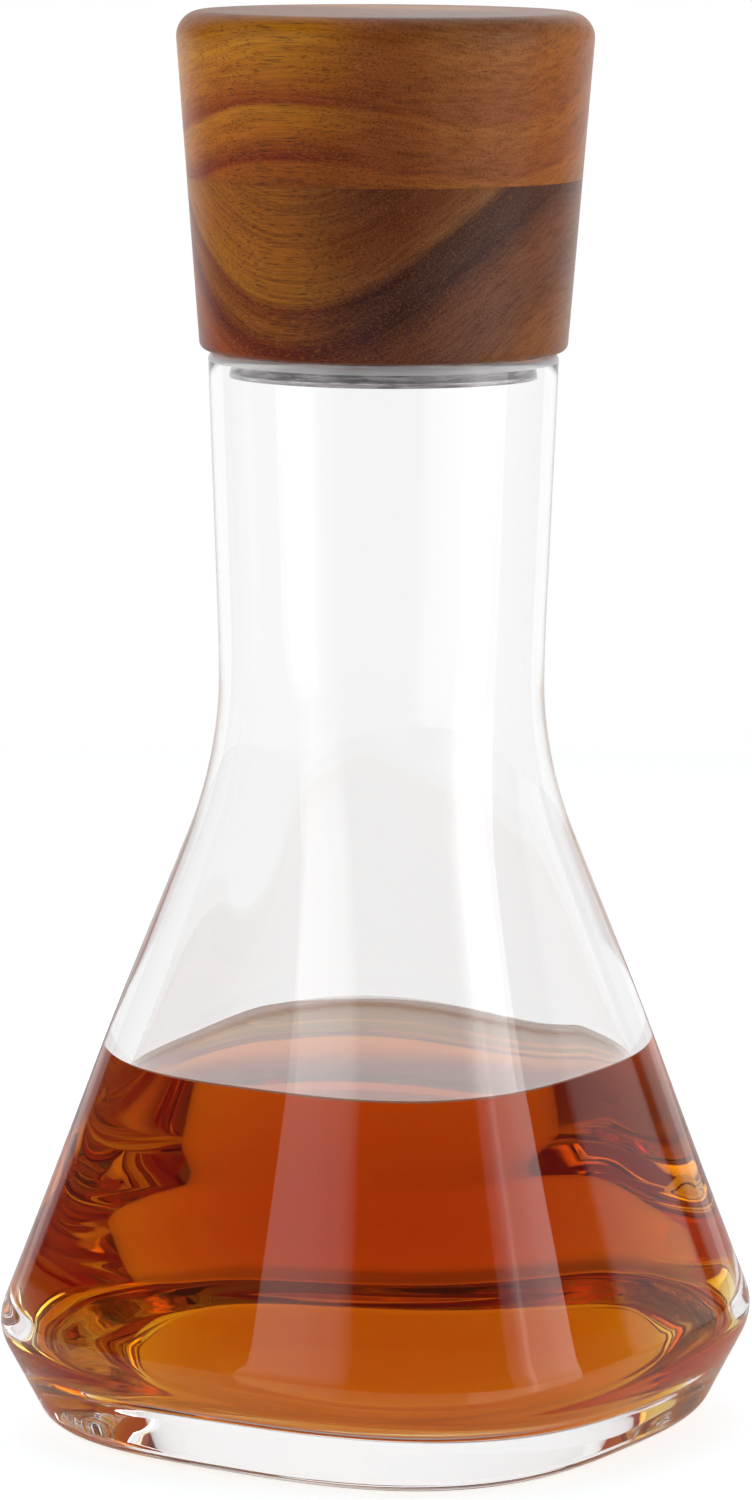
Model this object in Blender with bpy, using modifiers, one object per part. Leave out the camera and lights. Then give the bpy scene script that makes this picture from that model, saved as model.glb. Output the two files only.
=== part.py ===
"""Glass decanter with a turned wooden stopper, modelled piece by piece in metres, +Z up.

The origin is the centre of the foot, on the surface that the vessel stands on. The vessel is one lofted
wall of glass: a round mouth and waisted neck widen into a rounded square body, which turns in at a soft
kink to a smaller foot. The stopper is a tapered wooden head with a spigot and a clear ring seal.
"""
import math

import bmesh
import bpy

# Vessel, outside. A half width is measured to the middle of a flat side, along X or Y.
FOOT_HALF_WIDTH = 0.0528
FOOT_EDGE_FILLET = 0.0060
FOOT_RING_WIDTH = 0.0085
FOOT_RECESS_DEPTH = 0.0014
FOOT_RECESS_SLOPE_WIDTH = 0.0120
KINK_HALF_WIDTH = 0.0614
KINK_HEIGHT = 0.0186
KINK_FILLET = 0.0105
SHOULDER_RADIUS = 0.0280
SHOULDER_HEIGHT = 0.1193
SHOULDER_FILLET = 0.0765
BODY_HOLLOW = 0.0006
MOUTH_RADIUS = 0.0308
VESSEL_HEIGHT = 0.1907
LIP_OUTER_FILLET = 0.0022
LIP_INNER_FILLET = 0.0007

# Plan section: exponent of the rounded square |x|^n + |y|^n = w^n, where 2 is a circle.
FOOT_SQUARENESS = 2.93
BODY_SQUARENESS = 2.98
FLOOR_SQUARENESS = 3.40
CAVITY_SQUARENESS = 3.00
SQUARE_UP_TO_HEIGHT = 0.0640
ROUND_FROM_HEIGHT = 0.1440

# Vessel, inside: the glass is thickest in the base and the heel and thinnest at the mouth.
BASE_THICKNESS = 0.0107
FLOOR_RISE = 0.0019
HEEL_WALL = 0.0070
HEEL_FILLET = 0.0120
KINK_WALL = 0.0087
INNER_KINK_HEIGHT = 0.0293
INNER_KINK_FILLET = 0.0157
THICK_WALL = 0.0059
THICK_WALL_HEIGHT = 0.0780
THICK_WALL_FILLET = 0.2500
SHOULDER_WALL = 0.0040
MOUTH_WALL = 0.0031

# Contents.
FILL_HEIGHT = 0.0655

# Stopper. Its heights are measured from the rim that it rests on.
HEAD_TOP_RADIUS = 0.0368
HEAD_BOTTOM_RADIUS = 0.0322
HEAD_LENGTH = 0.0590
HEAD_TOP_FILLET = 0.0045
HEAD_BOTTOM_FILLET = 0.0015
GLUE_LINE_HEIGHT = 0.0305
SPIGOT_RADIUS = 0.0245
SPIGOT_LENGTH = 0.0043
SPIGOT_FILLET = 0.0005
GROOVE_DEPTH = 0.0010
GROOVE_WIDTH = 0.0016
SEAL_SLEEVE_WALL = 0.0012
SEAL_FIN_THICKNESS = 0.0009
SEAL_FIN_ROUNDING = 0.0003

# Clearances.
SEAT_GAP = 0.0003
FILL_GAP = 0.00035
SEAL_GAP = 0.0003

# Fineness of the meshes.
LOFT_SIDES = 56
TURN_STEPS = 48
ARC_SAG = 0.00006
LONGEST_RUN = 0.014

ACACIA_GOLD = (0.36, 0.13, 0.025)
ACACIA_BROWN = (0.22, 0.07, 0.018)
CLEAR_GLASS = (0.97, 0.98, 0.98)
AMBER_SPIRIT = (0.62, 0.16, 0.01)
CLEAR_SILICONE = (0.72, 0.70, 0.70)


def clear_scene():
    for item in list(bpy.data.objects):
        bpy.data.objects.remove(item, do_unlink=True)


def make_collection(name):
    collection = bpy.data.collections.new(name)
    bpy.context.scene.collection.children.link(collection)
    return collection


def make_material(name, colour, roughness, transmission=0.0, ior=1.5):
    material = bpy.data.materials.new(name)
    material.use_nodes = True
    shader = material.node_tree.nodes["Principled BSDF"]
    shader.inputs["Base Color"].default_value = (*colour, 1.0)
    shader.inputs["Metallic"].default_value = 0.0
    shader.inputs["Roughness"].default_value = roughness
    shader.inputs["Transmission Weight"].default_value = transmission
    shader.inputs["IOR"].default_value = ior
    return material


def make_axis(name, height, collection, parent=None):
    """Empty on the vertical axis, at a height above its parent, that a moving piece hangs from."""
    axis = bpy.data.objects.new(name, None)
    axis.empty_display_size = 0.01
    axis.location = (0.0, 0.0, height)
    axis.parent = parent
    collection.objects.link(axis)
    return axis


def make_object(name, mesh, material, collection, parent=None):
    mesh.materials.append(material)
    piece = bpy.data.objects.new(name, mesh)
    piece.parent = parent
    collection.objects.link(piece)
    return piece


def rounded_outline(corners):
    """Points (radius, height) through corners (radius, height, fillet), each fillet drawn as an arc.

    A fillet is cut back where its two sides are too short to hold it, and has as many points as keep its
    chords within ARC_SAG of the arc.
    """
    points = [corners[0][:2]]
    for before, corner, after in zip(corners, corners[1:], corners[2:]):
        to_before = (before[0] - corner[0], before[1] - corner[1])
        to_after = (after[0] - corner[0], after[1] - corner[1])
        side_before = math.hypot(*to_before)
        side_after = math.hypot(*to_after)
        along = to_before[0] * to_after[0] + to_before[1] * to_after[1]
        half_angle = math.acos(max(-1.0, min(1.0, along / (side_before * side_after)))) / 2
        reach = min(corner[2] / math.tan(half_angle), 0.49 * min(side_before, side_after))
        if reach < 1e-6:
            points.append(corner[:2])
            continue
        radius = reach * math.tan(half_angle)
        start = [corner[k] + to_before[k] / side_before * reach for k in (0, 1)]
        middle = [to_before[k] / side_before + to_after[k] / side_after for k in (0, 1)]
        stretch = radius / math.sin(half_angle) / math.hypot(*middle)
        centre = [corner[k] + middle[k] * stretch for k in (0, 1)]
        arm = (start[0] - centre[0], start[1] - centre[1])
        left_turn = to_before[1] * to_after[0] - to_before[0] * to_after[1] > 0
        whole_turn = (math.pi - 2 * half_angle) * (1 if left_turn else -1)
        widest_step = 2 * math.acos(max(0.5, 1 - ARC_SAG / radius))
        chords = max(2, math.ceil(abs(whole_turn) / widest_step))
        for step in range(chords + 1):
            turn = whole_turn * step / chords
            radial = arm[0] * math.cos(turn) - arm[1] * math.sin(turn)
            upward = arm[0] * math.sin(turn) + arm[1] * math.cos(turn)
            points.append((centre[0] + radial, centre[1] + upward))
    points.append(corners[-1][:2])
    return points


def divided(points):
    """The same outline with points added along its long straight runs."""
    fine = [points[0]]
    for start, end in zip(points, points[1:]):
        pieces = max(1, math.ceil(math.dist(start, end) / LONGEST_RUN))
        for step in range(1, pieces + 1):
            share = step / pieces
            fine.append(tuple(a + (b - a) * share for a, b in zip(start, end)))
    return fine


def hollow_at(height):
    """How far the long slanted wall is drawn in from a straight line."""
    share = (height - KINK_HEIGHT) / (SHOULDER_HEIGHT - KINK_HEIGHT)
    return 4 * BODY_HOLLOW * share * (1 - share) if 0 < share < 1 else 0.0


def squareness_at(height, low, body):
    """Exponent of the plan section, from the low end through the square body to the round neck."""
    rise = min(1.0, max(0.0, height / KINK_HEIGHT))
    rise = rise * rise * (3 - 2 * rise)
    fade = (height - SQUARE_UP_TO_HEIGHT) / (ROUND_FROM_HEIGHT - SQUARE_UP_TO_HEIGHT)
    fade = min(1.0, max(0.0, fade))
    fade = fade * fade * (3 - 2 * fade)
    square = low + (body - low) * rise
    return square + (2.0 - square) * fade


def plan_section(half_width, height, inside):
    """Points of the rounded square with this half width, counter-clockwise seen from above."""
    low = FLOOR_SQUARENESS if inside else FOOT_SQUARENESS
    body = CAVITY_SQUARENESS if inside else BODY_SQUARENESS
    exponent = squareness_at(height, low, body)
    points = []
    for side in range(LOFT_SIDES):
        angle = 2 * math.pi * side / LOFT_SIDES
        across, along = math.cos(angle), math.sin(angle)
        spread = (abs(across) ** exponent + abs(along) ** exponent) ** (1 / exponent)
        points.append((half_width * across / spread, half_width * along / spread, height))
    return points


def loft(name, outline, inside_from):
    """Closed mesh through the plan sections of an outline that starts and ends on the axis.

    Sections from the point numbered inside_from onwards have the squareness of the cavity.
    """
    form = bmesh.new()
    bottom = form.verts.new((0.0, 0.0, outline[0][1]))
    top = form.verts.new((0.0, 0.0, outline[-1][1]))
    rings = []
    for number, (half_width, height) in enumerate(outline[1:-1], start=1):
        section = plan_section(half_width, height, number >= inside_from)
        rings.append([form.verts.new(point) for point in section])
    for side in range(LOFT_SIDES):
        following = (side + 1) % LOFT_SIDES
        form.faces.new((bottom, rings[0][following], rings[0][side]))
        for lower, upper in zip(rings, rings[1:]):
            form.faces.new((lower[side], lower[following], upper[following], upper[side]))
        form.faces.new((top, rings[-1][side], rings[-1][following]))
    mesh = bpy.data.meshes.new(name)
    form.to_mesh(mesh)
    form.free()
    mesh.shade_smooth()
    mesh.set_sharp_from_angle(angle=math.radians(40))
    return mesh


def turned(name, outline, closed, material, collection, parent):
    """Piece turned about the vertical axis from an outline that runs down its outer side."""
    mesh = bpy.data.meshes.new(name)
    points = [(radius, 0.0, height) for radius, height in outline]
    edges = [(index, index + 1) for index in range(len(points) - 1)]
    if closed:
        edges.append((len(points) - 1, 0))
    mesh.from_pydata(points, edges, [])
    piece = make_object(name, mesh, material, collection, parent)
    screw = piece.modifiers.new("turning", "SCREW")
    screw.angle = 2 * math.pi
    screw.steps = TURN_STEPS
    screw.render_steps = TURN_STEPS
    screw.use_merge_vertices = True
    screw.merge_threshold = 0.00002
    screw.use_smooth_shade = True
    return piece


def turn_in_half_width(height):
    """Outer half width on the slope between the foot and the kink."""
    return FOOT_HALF_WIDTH + (KINK_HALF_WIDTH - FOOT_HALF_WIDTH) * height / KINK_HEIGHT


def slanted_half_width(height):
    """Outer half width on the long slant between the kink and the shoulder, before the hollow."""
    share = (height - KINK_HEIGHT) / (SHOULDER_HEIGHT - KINK_HEIGHT)
    return KINK_HALF_WIDTH + (SHOULDER_RADIUS - KINK_HALF_WIDTH) * share


def inner_corners(gap=0.0):
    """Corners of the cavity from its heel to its shoulder, drawn in by a gap."""
    thick = slanted_half_width(THICK_WALL_HEIGHT) - THICK_WALL
    return [
        (turn_in_half_width(BASE_THICKNESS) - HEEL_WALL - gap, BASE_THICKNESS + gap, HEEL_FILLET),
        (KINK_HALF_WIDTH - KINK_WALL - gap, INNER_KINK_HEIGHT, INNER_KINK_FILLET),
        (thick - gap, THICK_WALL_HEIGHT, THICK_WALL_FILLET),
        (SHOULDER_RADIUS - SHOULDER_WALL - gap, SHOULDER_HEIGHT, SHOULDER_FILLET),
    ]


def with_hollow(outline):
    return [(radius - hollow_at(height) if radius > 0 else 0.0, height) for radius, height in outline]


def glass_vessel(collection):
    """One piece of glass: foot, outer wall, lip, inner wall and cavity floor."""
    recess_edge = FOOT_HALF_WIDTH - FOOT_RING_WIDTH
    outline = rounded_outline([
        (0.0, FOOT_RECESS_DEPTH, 0.0),
        (recess_edge - FOOT_RECESS_SLOPE_WIDTH, FOOT_RECESS_DEPTH, FOOT_RECESS_SLOPE_WIDTH),
        (recess_edge, 0.0, 0.0),
        (FOOT_HALF_WIDTH, 0.0, FOOT_EDGE_FILLET),
        (KINK_HALF_WIDTH, KINK_HEIGHT, KINK_FILLET),
        (SHOULDER_RADIUS, SHOULDER_HEIGHT, SHOULDER_FILLET),
        (MOUTH_RADIUS, VESSEL_HEIGHT, LIP_OUTER_FILLET),
        (MOUTH_RADIUS - MOUTH_WALL, VESSEL_HEIGHT, LIP_INNER_FILLET),
        *reversed(inner_corners()),
        (0.0, BASE_THICKNESS + FLOOR_RISE, 0.0),
    ])
    outline = with_hollow(divided(outline))
    rim = max(range(len(outline)), key=lambda number: outline[number][1])
    mesh = loft("glass_vessel", outline, rim + 1)
    glass = make_material("clear_glass", CLEAR_GLASS, 0.02, transmission=1.0, ior=1.5)
    return make_object("glass_vessel", mesh, glass, collection)


def cavity_half_width(height):
    """Half width of the cavity where its wall is thick, before the hollow."""
    low, high = inner_corners()[1:3]
    share = (height - low[1]) / (high[1] - low[1])
    return low[0] + (high[0] - low[0]) * share


def spirit_fill(collection):
    """The contents, as the solid that fills the cavity up to the level, a hair clear of the glass."""
    outline = rounded_outline([
        (0.0, BASE_THICKNESS + FLOOR_RISE + FILL_GAP, 0.0),
        *inner_corners(FILL_GAP)[:2],
        (cavity_half_width(FILL_HEIGHT) - FILL_GAP, FILL_HEIGHT, 0.0),
        (0.0, FILL_HEIGHT, 0.0),
    ])
    mesh = loft("spirit_fill", with_hollow(divided(outline)), 0)
    amber = make_material("amber_spirit", AMBER_SPIRIT, 0.02, transmission=1.0, ior=1.36)
    return make_object("spirit_fill", mesh, amber, collection)


def head_radius(height):
    """Radius of the tapered head at a height above the rim."""
    underside = SEAT_GAP
    share = (height - underside) / HEAD_LENGTH
    return HEAD_BOTTOM_RADIUS + (HEAD_TOP_RADIUS - HEAD_BOTTOM_RADIUS) * share


def stopper_block_upper(collection, parent):
    """Upper of the two glued blocks, with the rounded top edge."""
    top = SEAT_GAP + HEAD_LENGTH
    bottom = GLUE_LINE_HEIGHT + SEAT_GAP / 2
    outline = rounded_outline([
        (0.0, top, 0.0),
        (HEAD_TOP_RADIUS, top, HEAD_TOP_FILLET),
        (head_radius(bottom), bottom, 0.0),
        (0.0, bottom, 0.0),
    ])
    wood = make_material("acacia_upper", ACACIA_GOLD, 0.45)
    return turned("stopper_block_upper", outline, False, wood, collection, parent)


def groove_centre():
    """Height of the middle of the seal's groove, halfway along the spigot."""
    return SEAT_GAP - SPIGOT_LENGTH / 2


def stopper_block_lower(collection, parent):
    """Lower block, with the spigot turned on its underside and the groove that holds the seal."""
    top = GLUE_LINE_HEIGHT - SEAT_GAP / 2
    underside = SEAT_GAP
    groove_floor = SPIGOT_RADIUS - GROOVE_DEPTH
    outline = rounded_outline([
        (0.0, top, 0.0),
        (head_radius(top), top, 0.0),
        (HEAD_BOTTOM_RADIUS, underside, HEAD_BOTTOM_FILLET),
        (SPIGOT_RADIUS, underside, 0.0),
        (SPIGOT_RADIUS, groove_centre() + GROOVE_WIDTH / 2, 0.0),
        (groove_floor, groove_centre() + GROOVE_WIDTH / 2, 0.0),
        (groove_floor, groove_centre() - GROOVE_WIDTH / 2, 0.0),
        (SPIGOT_RADIUS, groove_centre() - GROOVE_WIDTH / 2, 0.0),
        (SPIGOT_RADIUS, underside - SPIGOT_LENGTH, SPIGOT_FILLET),
        (0.0, underside - SPIGOT_LENGTH, 0.0),
    ])
    wood = make_material("acacia_lower", ACACIA_BROWN, 0.45)
    return turned("stopper_block_lower", outline, False, wood, collection, parent)


def neck_radius(drop):
    """Inner radius of the neck this far below the rim."""
    mouth = MOUTH_RADIUS - MOUTH_WALL
    throat = SHOULDER_RADIUS - SHOULDER_WALL
    return mouth - (mouth - throat) * drop / (VESSEL_HEIGHT - SHOULDER_HEIGHT)


def silicone_seal(collection, parent):
    """Ring stretched over the spigot: a sleeve with two outer fins and a bead in the groove."""
    bore = SPIGOT_RADIUS + SEAL_GAP
    bead = bore - GROOVE_DEPTH
    sleeve = bore + SEAL_SLEEVE_WALL
    top = 0.0
    bottom = SEAT_GAP - SPIGOT_LENGTH
    bead_half = GROOVE_WIDTH / 2 - SEAL_GAP
    upper_fin = neck_radius(SEAL_FIN_THICKNESS) - SEAL_GAP
    lower_fin = neck_radius(-bottom) - SEAL_GAP
    upper_fin_base = top - SEAL_FIN_THICKNESS
    lower_fin_top = bottom + SEAL_FIN_THICKNESS
    outline = rounded_outline([
        (bore, top, 0.0),
        (upper_fin, top, SEAL_FIN_ROUNDING),
        (upper_fin, upper_fin_base, SEAL_FIN_ROUNDING),
        (sleeve, upper_fin_base, 0.0),
        (sleeve, lower_fin_top, 0.0),
        (lower_fin, lower_fin_top, SEAL_FIN_ROUNDING),
        (lower_fin, bottom, SEAL_FIN_ROUNDING),
        (bore, bottom, 0.0),
        (bore, groove_centre() - bead_half, 0.0),
        (bead, groove_centre() - bead_half, 0.0),
        (bead, groove_centre() + bead_half, 0.0),
        (bore, groove_centre() + bead_half, 0.0),
    ])
    silicone = make_material("clear_silicone", CLEAR_SILICONE, 0.35, transmission=0.6, ior=1.41)
    return turned("silicone_seal", outline, True, silicone, collection, parent)


def build():
    clear_scene()
    decanter = make_collection("glass_decanter")
    glass_vessel(decanter)
    spirit_fill(decanter)
    lift_axis = make_axis("stopper_lift_axis", VESSEL_HEIGHT, decanter)
    turn_axis = make_axis("stopper_turn_axis", 0.0, decanter, lift_axis)
    silicone_seal(decanter, lift_axis)
    stopper_block_lower(decanter, turn_axis)
    stopper_block_upper(decanter, turn_axis)


build()
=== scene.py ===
import math

import bmesh
import bpy
from mathutils import Matrix, Vector


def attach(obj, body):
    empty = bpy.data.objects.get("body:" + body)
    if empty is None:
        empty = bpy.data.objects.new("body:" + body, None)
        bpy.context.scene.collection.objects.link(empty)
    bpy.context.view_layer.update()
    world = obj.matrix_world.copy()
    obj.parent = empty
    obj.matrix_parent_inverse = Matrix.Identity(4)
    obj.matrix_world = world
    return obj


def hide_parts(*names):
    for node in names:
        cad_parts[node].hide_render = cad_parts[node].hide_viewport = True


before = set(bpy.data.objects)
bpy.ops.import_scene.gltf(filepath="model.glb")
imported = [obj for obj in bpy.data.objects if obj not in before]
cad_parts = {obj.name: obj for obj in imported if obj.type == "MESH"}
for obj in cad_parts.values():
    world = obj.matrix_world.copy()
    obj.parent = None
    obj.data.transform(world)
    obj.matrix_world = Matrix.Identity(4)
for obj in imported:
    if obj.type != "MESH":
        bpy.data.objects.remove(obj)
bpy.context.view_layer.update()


# Camera: a long lens a little higher than the top of the stopper and tipped down, so that the surface of the
# spirit and the top of the stopper are both seen as thin ellipses.
IMAGE_HEIGHT = 1500
FOCAL_PIXELS = 6408.5
SENSOR_HEIGHT = 36.0
CAMERA_BEARING = math.radians(31.6)
CAMERA_DISTANCE = 1.1205
CAMERA_HEIGHT = 0.2900
CAMERA_PITCH = math.radians(8.627)
CAMERA_YAW = math.radians(-0.047)
CAMERA_ROLL = math.radians(0.348)
NEAREST_SEEN = 0.05


def towards(bearing, distance, height):
    """Point at a bearing round the decanter. Bearings turn from -Y towards +X."""
    return Vector((math.sin(bearing) * distance, -math.cos(bearing) * distance, height))


camera_data = bpy.data.cameras.new("camera")
camera_data.sensor_fit = "VERTICAL"
camera_data.sensor_height = SENSOR_HEIGHT
camera_data.lens = FOCAL_PIXELS * SENSOR_HEIGHT / IMAGE_HEIGHT
camera_data.clip_start = NEAREST_SEEN
camera = bpy.data.objects.new("camera", camera_data)
turn = Matrix.Rotation(CAMERA_BEARING - CAMERA_YAW, 4, "Z")
tip = Matrix.Rotation(math.radians(90) - CAMERA_PITCH, 4, "X")
camera.matrix_world = (
    Matrix.Translation(towards(CAMERA_BEARING, CAMERA_DISTANCE, CAMERA_HEIGHT))
    @ turn @ tip @ Matrix.Rotation(CAMERA_ROLL, 4, "Z")
)
bpy.context.scene.collection.objects.link(camera)
bpy.context.scene.camera = camera
bpy.context.scene.view_settings.view_transform = "Standard"


# Studio: a dark room with a white backdrop behind the decanter and a narrow white panel at the right. The
# glass shows them in its edges, and the camera sees plain white.
def linear(colour):
    """Linear colour of an sRGB hex value."""
    shares = [int(colour[place:place + 2], 16) / 255 for place in (1, 3, 5)]
    return (*(s / 12.92 if s <= 0.04045 else ((s + 0.055) / 1.055) ** 2.4 for s in shares), 1.0)


def add(tree, kind, inputs=(), stops=(), **settings):
    """Adds a node with its own settings. Its inputs come in order or by name, as values, sockets, or other
    nodes, which stand for their first output. Stops are the positions and hex colours of a ramp."""
    node = tree.nodes.new(kind)
    for setting, value in settings.items():
        setattr(node, setting, value)
    if isinstance(inputs, dict):
        pairs = [(node.inputs[name], value) for name, value in inputs.items()]
    else:
        pairs = zip([socket for socket in node.inputs if socket.enabled], inputs)
    for socket, value in pairs:
        if isinstance(value, bpy.types.Node):
            value = next(output for output in value.outputs if output.enabled)
        if isinstance(value, bpy.types.NodeSocket):
            tree.links.new(value, socket)
        else:
            socket.default_value = value
    for _ in stops[2:]:
        node.color_ramp.elements.new(1.0)
    for number, (position, colour) in enumerate(stops):
        node.color_ramp.elements[number].position = position
        node.color_ramp.elements[number].color = linear(colour)
    return node


WHITE = "#ffffff"
DARK_ROOM = "#343434"
DIM_GROUND = "#b4b4b4"
DIM_FRONT = "#d8d8d8"

# Levels by degrees from the camera's side: of the walls and the ground as they light matt pieces and are
# mirrored in shiny ones, and of the whole room as it is seen through glass.
WALLS = (
    (-150.0, "#e7e7e7"), (-136.0, "#c3c3c3"), (-133.0, DARK_ROOM), (110.0, DARK_ROOM), (112.5, "#cbcbcb"),
    (121.0, "#ededed"), (126.0, "#e7e7e7"), (128.0, DARK_ROOM), (131.5, DARK_ROOM), (134.0, "#bcbcbc"),
    (150.0, "#e1e1e1"), (176.0, WHITE),
)
GROUND = (
    (-134.0, WHITE), (-131.0, DIM_GROUND), (24.0, DIM_GROUND), (28.0, WHITE), (70.0, WHITE),
    (74.0, DIM_GROUND), (131.0, DIM_GROUND), (134.0, WHITE),
)
THROUGH_GLASS = ((-60.0, WHITE), (-54.0, DIM_FRONT), (54.0, DIM_FRONT), (60.0, WHITE))

world = bpy.data.worlds.new("studio")
world.use_nodes = True
bpy.context.scene.world = world
room = world.node_tree
room.nodes.clear()
direction = add(room, "ShaderNodeSeparateXYZ", [add(room, "ShaderNodeTexCoord").outputs["Generated"]]).outputs
away_from_y = add(room, "ShaderNodeMath", [direction["Y"], -1.0], operation="MULTIPLY")
bearing = add(room, "ShaderNodeMath", [direction["X"], away_from_y], operation="ARCTAN2")
from_camera = add(room, "ShaderNodeMath", [bearing, CAMERA_BEARING], operation="SUBTRACT")
turns = add(room, "ShaderNodeMath", [from_camera, 2 * math.pi], operation="DIVIDE")
# Half a turn puts the camera's side in the middle of a ramp, and a whole one keeps the number positive.
shifted = add(room, "ShaderNodeMath", [turns, 1.5], operation="ADD")
around = add(room, "ShaderNodeMath", [shifted], operation="FRACT")
walls, ground, through_glass = (
    add(room, "ShaderNodeValToRGB", [around], [(0.5 + degrees / 360, level) for degrees, level in levels])
    for levels in (WALLS, GROUND, THROUGH_GLASS)
)
ray = add(room, "ShaderNodeLightPath").outputs
below = add(room, "ShaderNodeMath", [direction["Z"], 0.0], operation="LESS_THAN")
mirrored = add(room, "ShaderNodeMix", [below, walls, ground], data_type="RGBA")
lit = add(room, "ShaderNodeMix", [ray["Is Transmission Ray"], mirrored, through_glass], data_type="RGBA")
seen = add(room, "ShaderNodeMix", [ray["Is Camera Ray"], lit, linear(WHITE)], data_type="RGBA")
backdrop = add(room, "ShaderNodeBackground", {"Color": seen, "Strength": 1.0})
add(room, "ShaderNodeOutputWorld", [backdrop])

# Light goes round and round inside thick glass before it leaves, so it is followed for many turns.
LIGHT_TURNS = 32
for limit in ("max_bounces", "glossy_bounces", "transmission_bounces", "transparent_max_bounces"):
    setattr(bpy.context.scene.cycles, limit, LIGHT_TURNS)


# Lamps: two tall soft boxes, at the front left and at the right, give the glass its long upright bands. They
# fade towards the camera and the floor, and the right one has a brighter seam. Two more at the sides and one
# overhead light the matt wood and the table, and are left out of the glass.
BOX_TOP = 1.5
FOOT_SHARE = 0.35
EVEN = ((0.0, WHITE), (1.0, WHITE))


def soft_box(name, bearing, spread, distance, foot, strength, levels=EVEN, fade=(0.0, 0.5), in_glass=True):
    """Upright lamp that faces the decanter. Its bearing from the camera's side and its spread are in degrees,
    and its levels run across it in the order of bearings. It fades to FOOT_SHARE of its strength between the
    two heights of fade."""
    lamp = bpy.data.lights.new(name, "AREA")
    lamp.shape = "RECTANGLE"
    lamp.size = 2 * distance * math.tan(math.radians(spread / 2))
    lamp.size_y = BOX_TOP - foot
    lamp.energy = math.pi * lamp.size * lamp.size_y
    lamp.use_nodes = True
    tree = lamp.node_tree
    tree.nodes.clear()
    spot = add(tree, "ShaderNodeNewGeometry").outputs
    across = add(tree, "ShaderNodeSeparateXYZ", [spot["Parametric"]]).outputs["X"]
    height = add(tree, "ShaderNodeSeparateXYZ", [spot["Position"]]).outputs["Z"]
    faded = add(
        tree, "ShaderNodeMapRange", [height, *fade, FOOT_SHARE, 1.0], interpolation_type="SMOOTHSTEP",
    )
    level = add(tree, "ShaderNodeValToRGB", [across], levels)
    shine = add(tree, "ShaderNodeMath", [faded, strength], operation="MULTIPLY")
    add(tree, "ShaderNodeOutputLight", [add(tree, "ShaderNodeEmission", {"Color": level, "Strength": shine})])
    box = bpy.data.objects.new(name, lamp)
    box.location = towards(CAMERA_BEARING + math.radians(bearing), distance, (BOX_TOP + foot) / 2)
    facing = Vector((-box.location.x, -box.location.y, 0.0))
    box.rotation_euler = facing.to_track_quat("-Z", "Y").to_euler()
    box.visible_camera = False
    box.visible_glossy = box.visible_transmission = in_glass
    bpy.context.scene.collection.objects.link(box)
    return box


soft_box(
    "soft_box_left", bearing=-45.9, spread=27.8, distance=1.5, foot=-0.5, strength=1.35,
    levels=(
        (0.0, WHITE), (0.41, "#fafafa"), (0.51, "#e8e8e8"), (0.72, "#e4e4e4"), (0.83, "#c3c3c3"),
        (0.95, "#7e7e7e"), (1.0, "#202020"),
    ),
)
soft_box(
    "soft_box_right", bearing=70.0, spread=37.0, distance=1.5, foot=-0.3, strength=2.4, fade=(-0.3, 0.4),
    levels=(
        (0.0, "#6b6b6b"), (0.2, "#9b9b9b"), (0.3, "#dedede"), (0.6, "#e1e1e1"), (0.8, "#fafafa"),
        (1.0, WHITE),
    ),
)
soft_box("seam_right", bearing=64.2, spread=2.6, distance=1.45, foot=-0.3, strength=0.8, fade=(-0.3, 0.4))
soft_box("fill_left", bearing=-85.0, spread=50.0, distance=1.4, foot=-0.5, strength=3.1, in_glass=False)
soft_box("fill_right", bearing=80.0, spread=40.0, distance=1.4, foot=-0.5, strength=1.9, in_glass=False)
overhead = soft_box(
    "overhead", bearing=0.0, spread=60.0, distance=1.0, foot=0.5, strength=1.0, in_glass=False,
)
overhead.location = (0.0, 0.0, BOX_TOP)
overhead.rotation_euler = (0.0, 0.0, 0.0)


# Table: round, matt and white, with its edge just in front of the decanter. To the camera it glows to plain
# white and keeps its shadow. Through glass it is plain white, with a painted shadow that darkens it under the
# foot.
TABLE_RADIUS = 0.45
TABLE_FRONT = 0.10
TABLE_DROP = 0.0002
TABLE_SIDES = 96
TABLE_GLOW = 0.625
# Level of the painted shadow under the foot, seen through glass, and the distances where it is full and where
# it ends.
PAINTED_SHADOW_LEVEL = 0.35
DARK_WITHIN = 0.056
WHITE_BEYOND = 0.078


def bare_material(name):
    """New material and its node tree, which is empty."""
    made = bpy.data.materials.new(name)
    made.use_nodes = True
    made.node_tree.nodes.clear()
    return made, made.node_tree


# White board, painted matt: an even white with no shine. Its glow is a little cool, because the light that
# reaches it through the spirit is warm and would turn the shadow brown.
board, tree = bare_material("white_board")
ray = add(tree, "ShaderNodeLightPath").outputs
paint = add(tree, "ShaderNodeBsdfDiffuse", {"Color": linear("#dcdcdc")})
to_camera = add(tree, "ShaderNodeMath", [ray["Is Camera Ray"], TABLE_GLOW], operation="MULTIPLY")
glow = add(tree, "ShaderNodeEmission", {"Color": linear("#eefbff"), "Strength": to_camera})
glowing = add(tree, "ShaderNodeAddShader", [paint, glow])
# Painted shadow: seen through glass the board is white light, dimmed near the foot as if by its shadow.
place = add(tree, "ShaderNodeNewGeometry").outputs["Position"]
from_foot = add(tree, "ShaderNodeVectorMath", [place], operation="LENGTH")
level = add(
    tree, "ShaderNodeMapRange", [from_foot, DARK_WITHIN, WHITE_BEYOND, PAINTED_SHADOW_LEVEL, 1.0],
    interpolation_type="SMOOTHSTEP",
)
plain = add(tree, "ShaderNodeEmission", {"Color": linear(WHITE), "Strength": level})
shown = add(tree, "ShaderNodeMixShader", [ray["Is Transmission Ray"], glowing, plain])
add(tree, "ShaderNodeOutputMaterial", [shown])

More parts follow.
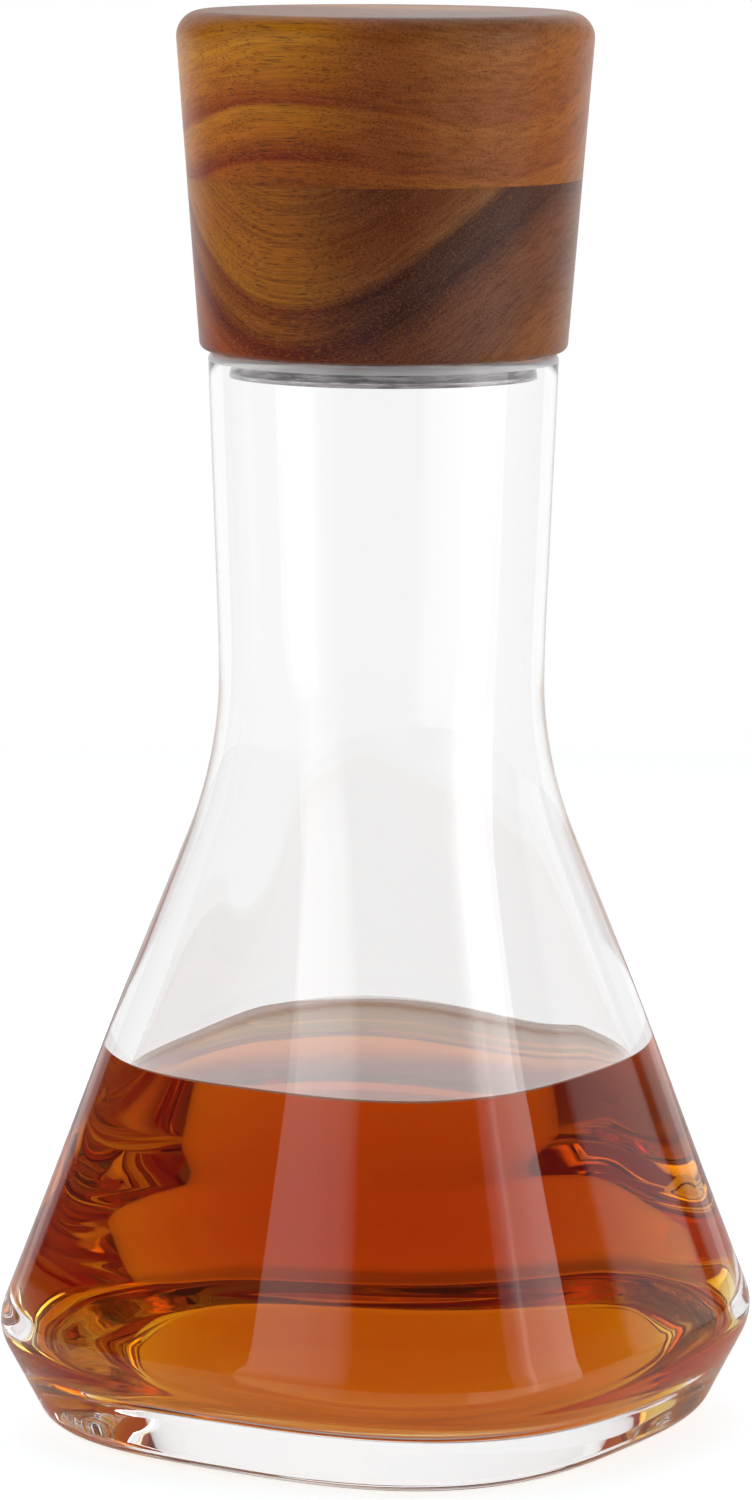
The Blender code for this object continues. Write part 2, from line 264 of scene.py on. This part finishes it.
mesh = bpy.data.meshes.new("table")
form = bmesh.new()
bmesh.ops.create_circle(form, cap_ends=True, segments=TABLE_SIDES, radius=TABLE_RADIUS)
form.to_mesh(mesh)
form.free()
mesh.materials.append(board)
table = bpy.data.objects.new("table", mesh)
table.location = towards(CAMERA_BEARING + math.pi, TABLE_RADIUS - TABLE_FRONT, -TABLE_DROP)
bpy.context.scene.collection.objects.link(table)


# Vessel: one wall of clear soda-lime glass, blown into a mould and fire-polished. A round waisted neck
# widens into a rounded square body, which turns in at a soft kink to a thick foot with a hollow underside.
FOOT_HALF_WIDTH = 0.0528
FOOT_EDGE_FILLET = 0.0060
FOOT_RING_WIDTH = 0.0085
FOOT_RECESS_DEPTH = 0.0014
FOOT_RECESS_SLOPE_WIDTH = 0.0120
KINK_HALF_WIDTH = 0.0614
KINK_HEIGHT = 0.0186
KINK_FILLET = 0.0105
SHOULDER_RADIUS = 0.0280
SHOULDER_HEIGHT = 0.1193
SHOULDER_FILLET = 0.0765
BODY_HOLLOW = 0.0006
MOUTH_RADIUS = 0.0308
VESSEL_HEIGHT = 0.1907
LIP_OUTER_FILLET = 0.0022
LIP_INNER_FILLET = 0.0007
FOOT_SQUARENESS = 2.93
BODY_SQUARENESS = 2.98
FLOOR_SQUARENESS = 3.40
CAVITY_SQUARENESS = 3.00
ROUND = 2.0
SQUARE_UP_TO_HEIGHT = 0.0640
ROUND_FROM_HEIGHT = 0.1440
BASE_THICKNESS = 0.0107
FLOOR_RISE = 0.0019
HEEL_WALL = 0.0070
HEEL_FILLET = 0.0120
KINK_WALL = 0.0087
INNER_KINK_HEIGHT = 0.0293
INNER_KINK_FILLET = 0.0157
THICK_WALL = 0.0059
THICK_WALL_HEIGHT = 0.0780
THICK_WALL_FILLET = 0.2500
SHOULDER_WALL = 0.0040
MOUTH_WALL = 0.0031
CONTACT_HEIGHT = 0.0655
GROUND_DEPTH = 0.0017

# How finely the forms are drawn: a chord's distance from its arc, the longest straight run, and the angle
# from which an edge is sharp. A fillet takes less than half of each side next to it.
LOFT_SIDES = 224
ARC_SAG = 0.000008
LONGEST_RUN = 0.0030
SHARP_FROM = math.radians(35)
FILLET_SHARE = 0.49
NEARLY_NOTHING = 1e-6


def rounded_outline(corners):
    """Points (radius, height) through corners (radius, height, fillet), each fillet drawn as a fine arc."""
    points = [corners[0][:2]]
    for before, corner, after in zip(corners, corners[1:], corners[2:]):
        here = Vector(corner[:2])
        back, on = Vector(before[:2]) - here, Vector(after[:2]) - here
        half_angle = back.angle(on) / 2
        length = min(corner[2] / math.tan(half_angle), FILLET_SHARE * min(back.length, on.length))
        if length < NEARLY_NOTHING:
            points.append(corner[:2])
            continue
        radius = length * math.tan(half_angle)
        start = here + back.normalized() * length
        middle = back.normalized() + on.normalized()
        centre = here + middle.normalized() * radius / math.sin(half_angle)
        turning = (math.pi - 2 * half_angle) * (1 if back.y * on.x - back.x * on.y > 0 else -1)
        chords = max(2, math.ceil(abs(turning) / (2 * math.acos(1 - ARC_SAG / radius))))
        for step in range(chords + 1):
            points.append(tuple(centre + Matrix.Rotation(turning * step / chords, 2) @ (start - centre)))
    points.append(corners[-1][:2])
    fine = [points[0]]
    for start, end in zip(points, points[1:]):
        pieces = max(1, math.ceil(math.dist(start, end) / LONGEST_RUN))
        for step in range(1, pieces + 1):
            share = step / pieces
            fine.append(tuple(a + (b - a) * share for a, b in zip(start, end)))
    return fine


def with_hollow(outline):
    """The same outline with its long slanted wall drawn slightly in."""
    drawn = []
    for radius, height in outline:
        share = (height - KINK_HEIGHT) / (SHOULDER_HEIGHT - KINK_HEIGHT)
        hollow = 4 * BODY_HOLLOW * share * (1 - share) if 0 < share < 1 and radius > 0 else 0.0
        drawn.append((radius - hollow, height))
    return drawn


def eased(share):
    """A share held between 0 and 1, with a soft start and end."""
    held = min(1.0, max(0.0, share))
    return held * held * (3 - 2 * held)


def squareness(height, low, body):
    """Exponent n of the plan section |x|^n + |y|^n = w^n, from the low end to the body and the round neck."""
    square = low + (body - low) * eased(height / KINK_HEIGHT)
    fade = eased((height - SQUARE_UP_TO_HEIGHT) / (ROUND_FROM_HEIGHT - SQUARE_UP_TO_HEIGHT))
    return square + (ROUND - square) * fade


def loft(name, outline, exponent, sides=LOFT_SIDES, closed=False, slot_of=None):
    """Mesh through the plan sections of an outline. An open outline starts and ends on the axis, and a
    closed one is a ring. exponent(number, height) and slot_of(number) give the squareness of the section
    with that number and the material slot of the faces that start there."""
    form = bmesh.new()
    rings = []
    for number, (radius, height) in enumerate(outline if closed else outline[1:-1]):
        power = exponent(number, height)
        ring = []
        for side in range(sides):
            angle = 2 * math.pi * side / sides
            across, along = math.cos(angle), math.sin(angle)
            spread = (abs(across) ** power + abs(along) ** power) ** (1 / power)
            ring.append(form.verts.new((radius * across / spread, radius * along / spread, height)))
        rings.append(ring)
    pairs = list(zip(rings, rings[1:] + rings[:1])) if closed else list(zip(rings, rings[1:]))
    for number, (lower, upper) in enumerate(pairs):
        for side in range(sides):
            after = (side + 1) % sides
            face = form.faces.new((lower[side], lower[after], upper[after], upper[side]))
            face.smooth = True
            if slot_of:
                face.material_index = slot_of(number)
    if not closed:
        ends = form.verts.new((0.0, 0.0, outline[0][1])), form.verts.new((0.0, 0.0, outline[-1][1]))
        for side in range(sides):
            after = (side + 1) % sides
            low = form.faces.new((ends[0], rings[0][after], rings[0][side]))
            high = form.faces.new((ends[1], rings[-1][side], rings[-1][after]))
            low.smooth = high.smooth = True
            if slot_of:
                high.material_index = slot_of(len(rings) - 1)
    mesh = bpy.data.meshes.new(name)
    bmesh.ops.recalc_face_normals(form, faces=form.faces)
    form.to_mesh(mesh)
    form.free()
    mesh.set_sharp_from_angle(angle=SHARP_FROM)
    return mesh


def show(name, mesh, materials, body, replaced):
    """Puts a piece in the scene, in place of its CAD node and on its body."""
    for material in materials:
        mesh.materials.append(material)
    piece = bpy.data.objects.new(name, mesh)
    bpy.context.scene.collection.objects.link(piece)
    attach(piece, body)
    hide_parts(replaced)


def wall_corners(gap=0.0):
    """Corners of the cavity from its heel to its shoulder, with the contact line of the spirit among them.
    The gap draws them in from the wall."""
    slope = (KINK_HALF_WIDTH - FOOT_HALF_WIDTH) / KINK_HEIGHT
    heel = FOOT_HALF_WIDTH + slope * BASE_THICKNESS - HEEL_WALL - gap
    kink = KINK_HALF_WIDTH - KINK_WALL - gap
    shoulder = SHOULDER_RADIUS - SHOULDER_WALL - gap
    rise = (THICK_WALL_HEIGHT - KINK_HEIGHT) / (SHOULDER_HEIGHT - KINK_HEIGHT)
    thick = KINK_HALF_WIDTH + (SHOULDER_RADIUS - KINK_HALF_WIDTH) * rise - THICK_WALL - gap
    share = (CONTACT_HEIGHT - INNER_KINK_HEIGHT) / (THICK_WALL_HEIGHT - INNER_KINK_HEIGHT)
    return [
        (heel, BASE_THICKNESS + gap, HEEL_FILLET),
        (kink, INNER_KINK_HEIGHT, INNER_KINK_FILLET),
        (kink + (thick - kink) * share, CONTACT_HEIGHT, 0.0),
        (thick, THICK_WALL_HEIGHT, THICK_WALL_FILLET),
        (shoulder, SHOULDER_HEIGHT, SHOULDER_FILLET),
    ]


def shadow_passes(tree, shader):
    """Lets the light of the lamps through, which otherwise stops at glass."""
    ray = add(tree, "ShaderNodeLightPath").outputs
    open_way = add(tree, "ShaderNodeBsdfTransparent")
    return add(tree, "ShaderNodeMixShader", [ray["Is Shadow Ray"], shader, open_way])


# Clear soda-lime glass bends light by 1.5 and mirrors it sharply; polished, so it has no roughness.
GLASS_IOR = 1.5
glass, tree = bare_material("clear_soda_lime_glass")
clear = add(tree, "ShaderNodeBsdfGlass", {"Color": linear("#fefefe"), "Roughness": 0.0, "IOR": GLASS_IOR})
add(tree, "ShaderNodeOutputMaterial", [shadow_passes(tree, clear)])

# Wetted glass: where the spirit lies against it, the wall bends light at the spirit's own surface instead.
wetted, tree = bare_material("wetted_glass")
add(tree, "ShaderNodeOutputMaterial", [add(tree, "ShaderNodeBsdfTransparent")])

# Ground lip: the stopper's seat is ground flat and rounded off, which leaves the glass there satin and milky.
LIP_BLOOM = 0.35
ground_lip, tree = bare_material("ground_glass_lip")
satin = add(tree, "ShaderNodeBsdfGlass", {"Color": linear(WHITE), "Roughness": 0.35, "IOR": GLASS_IOR})
bloom = add(tree, "ShaderNodeBsdfDiffuse", {"Color": linear("#fafafa")})
milky = add(tree, "ShaderNodeMixShader", [LIP_BLOOM, satin, bloom])
add(tree, "ShaderNodeOutputMaterial", [shadow_passes(tree, milky)])

recess_edge = FOOT_HALF_WIDTH - FOOT_RING_WIDTH
outline = with_hollow(rounded_outline([
    (0.0, FOOT_RECESS_DEPTH, 0.0),
    (recess_edge - FOOT_RECESS_SLOPE_WIDTH, FOOT_RECESS_DEPTH, FOOT_RECESS_SLOPE_WIDTH),
    (recess_edge, 0.0, 0.0),
    (FOOT_HALF_WIDTH, 0.0, FOOT_EDGE_FILLET),
    (KINK_HALF_WIDTH, KINK_HEIGHT, KINK_FILLET),
    (SHOULDER_RADIUS, SHOULDER_HEIGHT, SHOULDER_FILLET),
    (MOUTH_RADIUS, VESSEL_HEIGHT, LIP_OUTER_FILLET),
    (MOUTH_RADIUS - MOUTH_WALL, VESSEL_HEIGHT, LIP_INNER_FILLET),
    *reversed(wall_corners()),
    (0.0, BASE_THICKNESS + FLOOR_RISE, 0.0),
]))
top = max(range(len(outline)), key=lambda place: outline[place][1])
lip_from = next(p for p in range(top) if outline[p][1] > VESSEL_HEIGHT - GROUND_DEPTH)
wet_from = next(p for p in range(top, len(outline)) if outline[p][1] <= CONTACT_HEIGHT + NEARLY_NOTHING)
POLISHED, WET, SATIN = range(3)


def wall_slot(number):
    """Slot of the faces after a section: wet inside below the contact line, satin at the lip, or polished."""
    if number + 1 >= wet_from:
        return WET
    return SATIN if lip_from <= number + 1 <= top else POLISHED


def cavity_squareness(number, height):
    """Squareness of a section of the cavity, or of what lies in it."""
    return squareness(height, FLOOR_SQUARENESS, CAVITY_SQUARENESS)


def wall_squareness(number, height):
    """Squareness of a section of the wall: outside as far as the lip, and inside after it."""
    if number >= top:
        return cavity_squareness(number, height)
    return squareness(height, FOOT_SQUARENESS, BODY_SQUARENESS)


mesh = loft("decanter_wall", outline, wall_squareness, slot_of=wall_slot)
show("decanter_wall", mesh, [glass, wetted, ground_lip], "vessel", "glass_vessel")


# Contents: amber spirit up to a third of the vessel's height, which is over half of what it holds. It lies
# against the glass and is drawn a little up it at the edge.
SPIRIT_CLEARANCE = 0.00002
MENISCUS_RISE = 0.0012
MENISCUS_REACH = 0.0013
EDGE_STEPS = (0.08, 0.2, 0.35, 0.55, 0.8, 1.1, 1.5, 2.0, 2.7, 3.6, 5.0, 8.0)
SPIRIT_IOR = 1.36

# The open surface is all that lies within a band below the contact line and is level enough, by its normal's
# height. A grey matt layer on it is a painted sheen that stands in for reflections at shallow angles of
# sight, and where it climbs the glass it is stronger, partly a wet film and partly painted sheen.
SURFACE_BAND = 0.006
SURFACE_LEVEL = 0.42
PAINTED_SHEEN_ANGLES = (0.55, 0.85)
PAINTED_SHEEN = 0.08
CLIMB_LEVELS = (0.995, 0.90)
CLIMB_FILM_AND_PAINTED_SHEEN = 0.45

# Spirit stained by its cask: it takes out blue first, then green, so thin places are gold and deep ones red.
# Its sides bend light from glass to spirit, and its open surface bends it from spirit to air.
spirit, tree = bare_material("amber_spirit")
surface = add(tree, "ShaderNodeBsdfGlass", {"Color": linear(WHITE), "Roughness": 0.0, "IOR": SPIRIT_IOR})
sides = add(tree, "ShaderNodeBsdfGlass", {
    "Color": linear(WHITE), "Roughness": 0.0, "IOR": SPIRIT_IOR / GLASS_IOR,
})
normal = add(tree, "ShaderNodeNewGeometry").outputs["True Normal"]
upward = add(tree, "ShaderNodeSeparateXYZ", [normal]).outputs["Z"]
place = add(tree, "ShaderNodeTexCoord").outputs["Object"]
height = add(tree, "ShaderNodeSeparateXYZ", [place]).outputs["Z"]
levelness = add(tree, "ShaderNodeMath", [upward], operation="ABSOLUTE")
level = add(tree, "ShaderNodeMath", [levelness, SURFACE_LEVEL], operation="GREATER_THAN")
high = add(tree, "ShaderNodeMath", [height, CONTACT_HEIGHT - SURFACE_BAND], operation="GREATER_THAN")
open_top = add(tree, "ShaderNodeMath", [level, high], operation="MULTIPLY")
# Painted sheen: a grey matt layer for the surface's reflections, and on the climbing edge partly a wet film.
film_and_painted_sheen = add(tree, "ShaderNodeBsdfDiffuse", {"Color": linear("#d8d6d6")})
grazing = add(tree, "ShaderNodeLayerWeight", {"Blend": 0.5}).outputs["Facing"]
painted_sheen = add(tree, "ShaderNodeMapRange", [grazing, *PAINTED_SHEEN_ANGLES, 0.0, PAINTED_SHEEN])
climbing = add(tree, "ShaderNodeMapRange", [upward, *CLIMB_LEVELS, 0.0, CLIMB_FILM_AND_PAINTED_SHEEN])
film_and_sheen_share = add(tree, "ShaderNodeMath", [painted_sheen, climbing], operation="MAXIMUM")
with_film_and_sheen = add(tree, "ShaderNodeMixShader", [film_and_sheen_share, surface, film_and_painted_sheen])
either = add(tree, "ShaderNodeMixShader", [open_top, sides, with_film_and_sheen])
stain = add(tree, "ShaderNodeVolumeAbsorption", {"Color": linear("#f8e578"), "Density": 148.0})
add(tree, "ShaderNodeOutputMaterial", {"Surface": shadow_passes(tree, either), "Volume": stain})

heel, kink, contact = wall_corners(SPIRIT_CLEARANCE)[:3]
edge = []
for share in EDGE_STEPS:
    drop = MENISCUS_RISE * (1 - math.exp(-share))
    edge.append((contact[0] - share * MENISCUS_REACH, CONTACT_HEIGHT - drop, 0.0))
outline = with_hollow(rounded_outline([
    (0.0, BASE_THICKNESS + FLOOR_RISE + SPIRIT_CLEARANCE, 0.0), heel, kink, contact,
    *edge, (0.0, CONTACT_HEIGHT - MENISCUS_RISE, 0.0),
]))
mesh = loft("spirit", outline, cavity_squareness)
show("spirit", mesh, [spirit], "vessel", "spirit_fill")


# Stopper: two blocks of acacia glued one on the other with the grain lying level, then turned to a taper,
# sanded and oiled. The lower block carries the spigot that goes into the neck.
HEAD_TOP_RADIUS = 0.0368
HEAD_BOTTOM_RADIUS = 0.0322
HEAD_LENGTH = 0.0590
HEAD_TOP_FILLET = 0.0045
HEAD_BOTTOM_FILLET = 0.0015
GLUE_LINE_HEIGHT = VESSEL_HEIGHT + 0.0305
GLUE_GAP = 0.00001
SEAT_HEIGHT = VESSEL_HEIGHT + 0.0003
SPIGOT_RADIUS = 0.0245
SPIGOT_LENGTH = 0.0043
SPIGOT_FILLET = 0.0005
GROOVE_DEPTH = 0.0010
GROOVE_WIDTH = 0.0016
TURN_SIDES = 192

# The wood's figure, in mm. Heights are above the ring that is RING_ZERO high on the axis. The grain lies
# along X, and end grain and tones go by X too. A size is the one along the grain and the one across it,
# and is a fraction where the scale of its noise is a round number.
MM = 1000.0
RING_ZERO = 223.0
RING_LOW, RING_HIGH = -30.0, 40.0
END_GRAIN_AT = 20.0
TONES_FROM, TONES_TO = -20.0, 40.0
HEARTWOOD_TONES = (
    (0.0, "#eeeecc"), (0.33, "#eeeedd"), (0.53, "#e6e2ff"), (0.67, "#e2d4cc"), (0.80, "#f6ffff"),
    (0.92, "#ffffee"),
)
WANDER = 0.6
WANDER_SIZE = (100 / 3, 50 / 3)
WANDER_LEVELS = (0.3, 0.7)

# Fibres are thin across the rings and drawn out along X and Y, so these two count for little. The pores are
# drawn a little wider than real ones, so that they show. Levels are those of the noise where a mark starts
# and is full, and its share is how much of its colour it then has.
FIBRE_WIDTH = 5 / 7
FIBRE_DRAW = (0.03, 0.2)
FIBRE_LEVELS = (0.42, 0.68)
FIBRE_SHARE = 0.6
FIBRE_COLOUR = "#a5744f"
# Painted glints: lighter flecks across the grain, mixed into the colour, stand in for tiny glints of light on
# the wood.
PAINTED_GLINT_SIZE = (1.0, 5 / 21)
PAINTED_GLINT_LEVELS = (0.50, 0.30)
PAINTED_GLINT_SHARE = 0.25
PAINTED_GLINT_COLOUR = "#c07a34"
PORE_SIZE = (20 / 3, 5 / 22)
PORE_LEVELS = (0.57, 0.68)
PORE_SHARE = 0.55
PORE_COLOUR = "#2a1208"
PORE_DEPTH = 0.00006


def acacia(name, curve, end_from, side_bands_with_painted_sheen, end_bands):
    """Oiled acacia: bands of heartwood that follow the growth rings, fine fibres, lighter flecks across the
    grain that are painted glints, and pores that are dashes along the grain and dots across it. On the long
    grain the bands are brighter and more golden, partly a painted sheen for the wood's chatoyance, and they
    turn darker towards the end grain, which has none. curve is what a ring rises by per mm of y, per square
    mm of y and per mm of x, end_from is the x where end grain begins to show, and bands are heights and
    colours."""
    wood, tree = bare_material(name)
    metres = add(tree, "ShaderNodeTexCoord").outputs["Object"]
    place = add(tree, "ShaderNodeVectorMath", [metres, MM], operation="SCALE")
    axes = add(tree, "ShaderNodeSeparateXYZ", [place]).outputs
    x, y, z = (axes[letter] for letter in "XYZ")

    def drawn_out(size, **inputs):
        """Noise drawn out along the grain."""
        along, across = (1 / length for length in size)
        scaled = add(tree, "ShaderNodeVectorMath", [place, (along, across, across)], operation="MULTIPLY")
        return add(tree, "ShaderNodeTexNoise", {"Vector": scaled, "Scale": 1.0, **inputs})

    ring = add(tree, "ShaderNodeMath", [z, RING_ZERO], operation="SUBTRACT")
    y_squared = add(tree, "ShaderNodeMath", [y, y], operation="MULTIPLY")
    for part, slope in zip((y, y_squared, x), curve):
        rise = add(tree, "ShaderNodeMath", [part, slope], operation="MULTIPLY")
        ring = add(tree, "ShaderNodeMath", [ring, rise], operation="SUBTRACT")
    wander = add(
        tree, "ShaderNodeMapRange", [drawn_out(WANDER_SIZE, Detail=2.0), *WANDER_LEVELS, -WANDER, WANDER],
    )
    ring = add(tree, "ShaderNodeMath", [ring, wander], operation="ADD")

    step = add(tree, "ShaderNodeMapRange", [ring, RING_LOW, RING_HIGH])
    # The bands on the long grain are partly a painted sheen: brighter and more golden than those on the end
    # grain.
    side, end = (
        add(tree, "ShaderNodeValToRGB", [step], [
            ((height - RING_LOW) / (RING_HIGH - RING_LOW), colour) for height, colour in bands
        ])
        for bands in (side_bands_with_painted_sheen, end_bands)
    )
    towards_end = add(
        tree, "ShaderNodeMapRange", [x, end_from, END_GRAIN_AT], interpolation_type="SMOOTHSTEP",
    )
    figure = add(tree, "ShaderNodeMix", [towards_end, side, end], data_type="RGBA")
    across_block = add(tree, "ShaderNodeMapRange", [x, TONES_FROM, TONES_TO])
    tone = add(tree, "ShaderNodeValToRGB", [across_block], HEARTWOOD_TONES)
    toned = add(tree, "ShaderNodeMix", [1.0, figure, tone], data_type="RGBA", blend_type="MULTIPLY")

    drawn = [
        add(tree, "ShaderNodeMath", [part, draw], operation="MULTIPLY")
        for part, draw in zip((x, y), FIBRE_DRAW)
    ]
    fibres = add(tree, "ShaderNodeTexNoise", {
        "Vector": add(tree, "ShaderNodeCombineXYZ", [*drawn, ring]), "Scale": 1 / FIBRE_WIDTH,
        "Detail": 4.0, "Roughness": 0.7,
    })
    fibres = add(tree, "ShaderNodeMapRange", [fibres, *FIBRE_LEVELS, 0.0, FIBRE_SHARE])
    lined = add(
        tree, "ShaderNodeMix", [fibres, toned, linear(FIBRE_COLOUR)], data_type="RGBA", blend_type="MULTIPLY",
    )
    # Painted glints: lighter flecks across the grain.
    painted_glints = drawn_out(PAINTED_GLINT_SIZE, Detail=2.0, Roughness=0.6)
    painted_glints = add(tree, "ShaderNodeMapRange", [painted_glints, *PAINTED_GLINT_LEVELS, 0.0, PAINTED_GLINT_SHARE])
    with_painted_glints = add(tree, "ShaderNodeMix", [painted_glints, lined, linear(PAINTED_GLINT_COLOUR)], data_type="RGBA")
    pores = add(tree, "ShaderNodeMapRange", [drawn_out(PORE_SIZE, Detail=1.0), *PORE_LEVELS])
    filled = add(tree, "ShaderNodeMath", [pores, PORE_SHARE], operation="MULTIPLY")
    dotted = add(tree, "ShaderNodeMix", [filled, with_painted_glints, linear(PORE_COLOUR)], data_type="RGBA")
    sunk = add(tree, "ShaderNodeMath", [pores, -1.0], operation="MULTIPLY")
    bump = add(tree, "ShaderNodeBump", {"Height": sunk, "Strength": 0.3, "Distance": PORE_DEPTH})
    oiled = add(tree, "ShaderNodeBsdfPrincipled", {
        "Base Color": dotted, "Roughness": 0.30, "IOR": 1.5, "Specular IOR Level": 0.15, "Normal": bump,
    })
    add(tree, "ShaderNodeOutputMaterial", [oiled])
    return wood


# The upper block is golden brown, with thin redder lines between its rings.
upper_wood = acacia(
    "acacia_upper_block", curve=(0.298, 0.0108, 0.0545), end_from=4.0,
    side_bands_with_painted_sheen=(
        (-6.0, "#874509"), (-0.8, "#a95503"), (0.2, "#842801"), (4.5, "#b86605"), (8.6, "#c1760c"),
        (9.6, "#973c01"), (14.0, "#bd6d08"), (20.0, "#cb830d"), (27.0, "#975314"),
    ),
    end_bands=(
        (-6.0, "#9c5a22"), (-0.8, "#a86029"), (0.2, "#965026"), (4.5, "#9e5827"), (8.6, "#aa6329"),
        (9.6, "#985226"), (14.0, "#9e5826"), (20.0, "#a6622a"), (27.0, "#804f34"),
    ),
)

# The lower block is golden above and red brown below, with dark lines and the darkest end grain.
lower_wood = acacia(
    "acacia_lower_block", curve=(0.4194, -0.0164, -0.0929), end_from=-4.0,
    side_bands_with_painted_sheen=(
        (-24.0, "#7a4020"), (-14.0, "#7d2f08"), (-6.0, "#9e4301"), (-0.8, "#702405"), (0.6, "#6d1f01"),
        (4.0, "#97520d"), (8.4, "#7b3203"), (10.4, "#ad6904"), (18.0, "#ab6204"), (30.0, "#a25a03"),
    ),
    end_bands=(
        (-24.0, "#8c5431"), (-14.0, "#754836"), (-6.0, "#7c4a35"), (-0.8, "#5e3930"), (0.6, "#4c2e2b"),
        (4.0, "#54352e"), (8.4, "#4e2d26"), (10.8, "#8c562f"), (18.0, "#783e1b"), (30.0, "#6e3f23"),
    ),
)


def turned(number, height):
    """Squareness of a piece that is turned or moulded round."""
    return ROUND


taper = (HEAD_TOP_RADIUS - HEAD_BOTTOM_RADIUS) / HEAD_LENGTH
glue_line_radius = HEAD_BOTTOM_RADIUS + taper * (GLUE_LINE_HEIGHT - SEAT_HEIGHT)
outline = rounded_outline([
    (0.0, SEAT_HEIGHT + HEAD_LENGTH, 0.0),
    (HEAD_TOP_RADIUS, SEAT_HEIGHT + HEAD_LENGTH, HEAD_TOP_FILLET),
    (glue_line_radius, GLUE_LINE_HEIGHT + GLUE_GAP, 0.0),
    (0.0, GLUE_LINE_HEIGHT + GLUE_GAP, 0.0),
])
mesh = loft("wood_upper", outline, turned, TURN_SIDES)
show("wood_upper", mesh, [upper_wood], "head", "stopper_block_upper")

groove = SEAT_HEIGHT - SPIGOT_LENGTH / 2
outline = rounded_outline([
    (0.0, GLUE_LINE_HEIGHT - GLUE_GAP, 0.0),
    (glue_line_radius, GLUE_LINE_HEIGHT - GLUE_GAP, 0.0),
    (HEAD_BOTTOM_RADIUS, SEAT_HEIGHT, HEAD_BOTTOM_FILLET),
    (SPIGOT_RADIUS, SEAT_HEIGHT, 0.0),
    (SPIGOT_RADIUS, groove + GROOVE_WIDTH / 2, 0.0),
    (SPIGOT_RADIUS - GROOVE_DEPTH, groove + GROOVE_WIDTH / 2, 0.0),
    (SPIGOT_RADIUS - GROOVE_DEPTH, groove - GROOVE_WIDTH / 2, 0.0),
    (SPIGOT_RADIUS, groove - GROOVE_WIDTH / 2, 0.0),
    (SPIGOT_RADIUS, SEAT_HEIGHT - SPIGOT_LENGTH, SPIGOT_FILLET),
    (0.0, SEAT_HEIGHT - SPIGOT_LENGTH, 0.0),
])
mesh = loft("wood_lower", outline, turned, TURN_SIDES)
show("wood_lower", mesh, [lower_wood], "head", "stopper_block_lower")


# Seal: a ring of clear moulded silicone, stretched over the spigot, with a bead in its groove, two fins
# that press on the neck and a thin skirt that lies between the wood and the lip.
SEAL_CLEARANCE = 0.0003
SLEEVE_WALL = 0.0012
FIN_THICKNESS = 0.0009
FIN_ROUNDING = 0.0003
SKIRT_RADIUS = 0.0300
SKIRT_CLEARANCE = 0.00005
STREAK_LENGTH = 1 / 170
STREAK_HEIGHT = 0.000625

# Clear silicone is milky and soft: light goes through it, spread by its moulded skin, in flat streaks.
silicone, tree = bare_material("clear_moulded_silicone")
place = add(tree, "ShaderNodeTexCoord").outputs["Object"]
flat = (1 / STREAK_LENGTH, 1 / STREAK_LENGTH, 1 / STREAK_HEIGHT)
scaled = add(tree, "ShaderNodeVectorMath", [place, flat], operation="MULTIPLY")
streaks = add(tree, "ShaderNodeTexNoise", {"Vector": scaled, "Scale": 1.0, "Detail": 3.0, "Roughness": 0.7})
milky = add(tree, "ShaderNodeValToRGB", [streaks], ((0.40, "#989194"), (0.5, "#dcd8da"), (0.60, WHITE)))
skin = add(tree, "ShaderNodeBsdfPrincipled", {
    "Base Color": milky, "Roughness": 0.25, "IOR": 1.41, "Transmission Weight": 0.75,
})
add(tree, "ShaderNodeOutputMaterial", [skin])


def neck_radius(height):
    """Inner radius of the neck, which narrows downwards."""
    mouth, throat = MOUTH_RADIUS - MOUTH_WALL, SHOULDER_RADIUS - SHOULDER_WALL
    return mouth - (mouth - throat) * (VESSEL_HEIGHT - height) / (VESSEL_HEIGHT - SHOULDER_HEIGHT)


bore = SPIGOT_RADIUS + SEAL_CLEARANCE
base = SEAT_HEIGHT - SPIGOT_LENGTH
bead = GROOVE_WIDTH / 2 - SEAL_CLEARANCE
upper_fin = neck_radius(VESSEL_HEIGHT - FIN_THICKNESS) - SEAL_CLEARANCE
lower_fin = neck_radius(base) - SEAL_CLEARANCE
outline = rounded_outline([
    (bore, SEAT_HEIGHT - SKIRT_CLEARANCE, 0.0),
    (SKIRT_RADIUS, SEAT_HEIGHT - SKIRT_CLEARANCE, 0.0),
    (SKIRT_RADIUS, VESSEL_HEIGHT + SKIRT_CLEARANCE, 0.0),
    (upper_fin, VESSEL_HEIGHT + SKIRT_CLEARANCE, 0.0),
    (upper_fin, VESSEL_HEIGHT - FIN_THICKNESS, FIN_ROUNDING),
    (bore + SLEEVE_WALL, VESSEL_HEIGHT - FIN_THICKNESS, 0.0),
    (bore + SLEEVE_WALL, base + FIN_THICKNESS, 0.0),
    (lower_fin, base + FIN_THICKNESS, FIN_ROUNDING),
    (lower_fin, base, FIN_ROUNDING),
    (bore, base, 0.0),
    (bore, groove - bead, 0.0),
    (bore - GROOVE_DEPTH, groove - bead, 0.0),
    (bore - GROOVE_DEPTH, groove + bead, 0.0),
    (bore, groove + bead, 0.0),
])
mesh = loft("seal_ring", outline, turned, TURN_SIDES, closed=True)
show("seal_ring", mesh, [silicone], "seal", "silicone_seal")
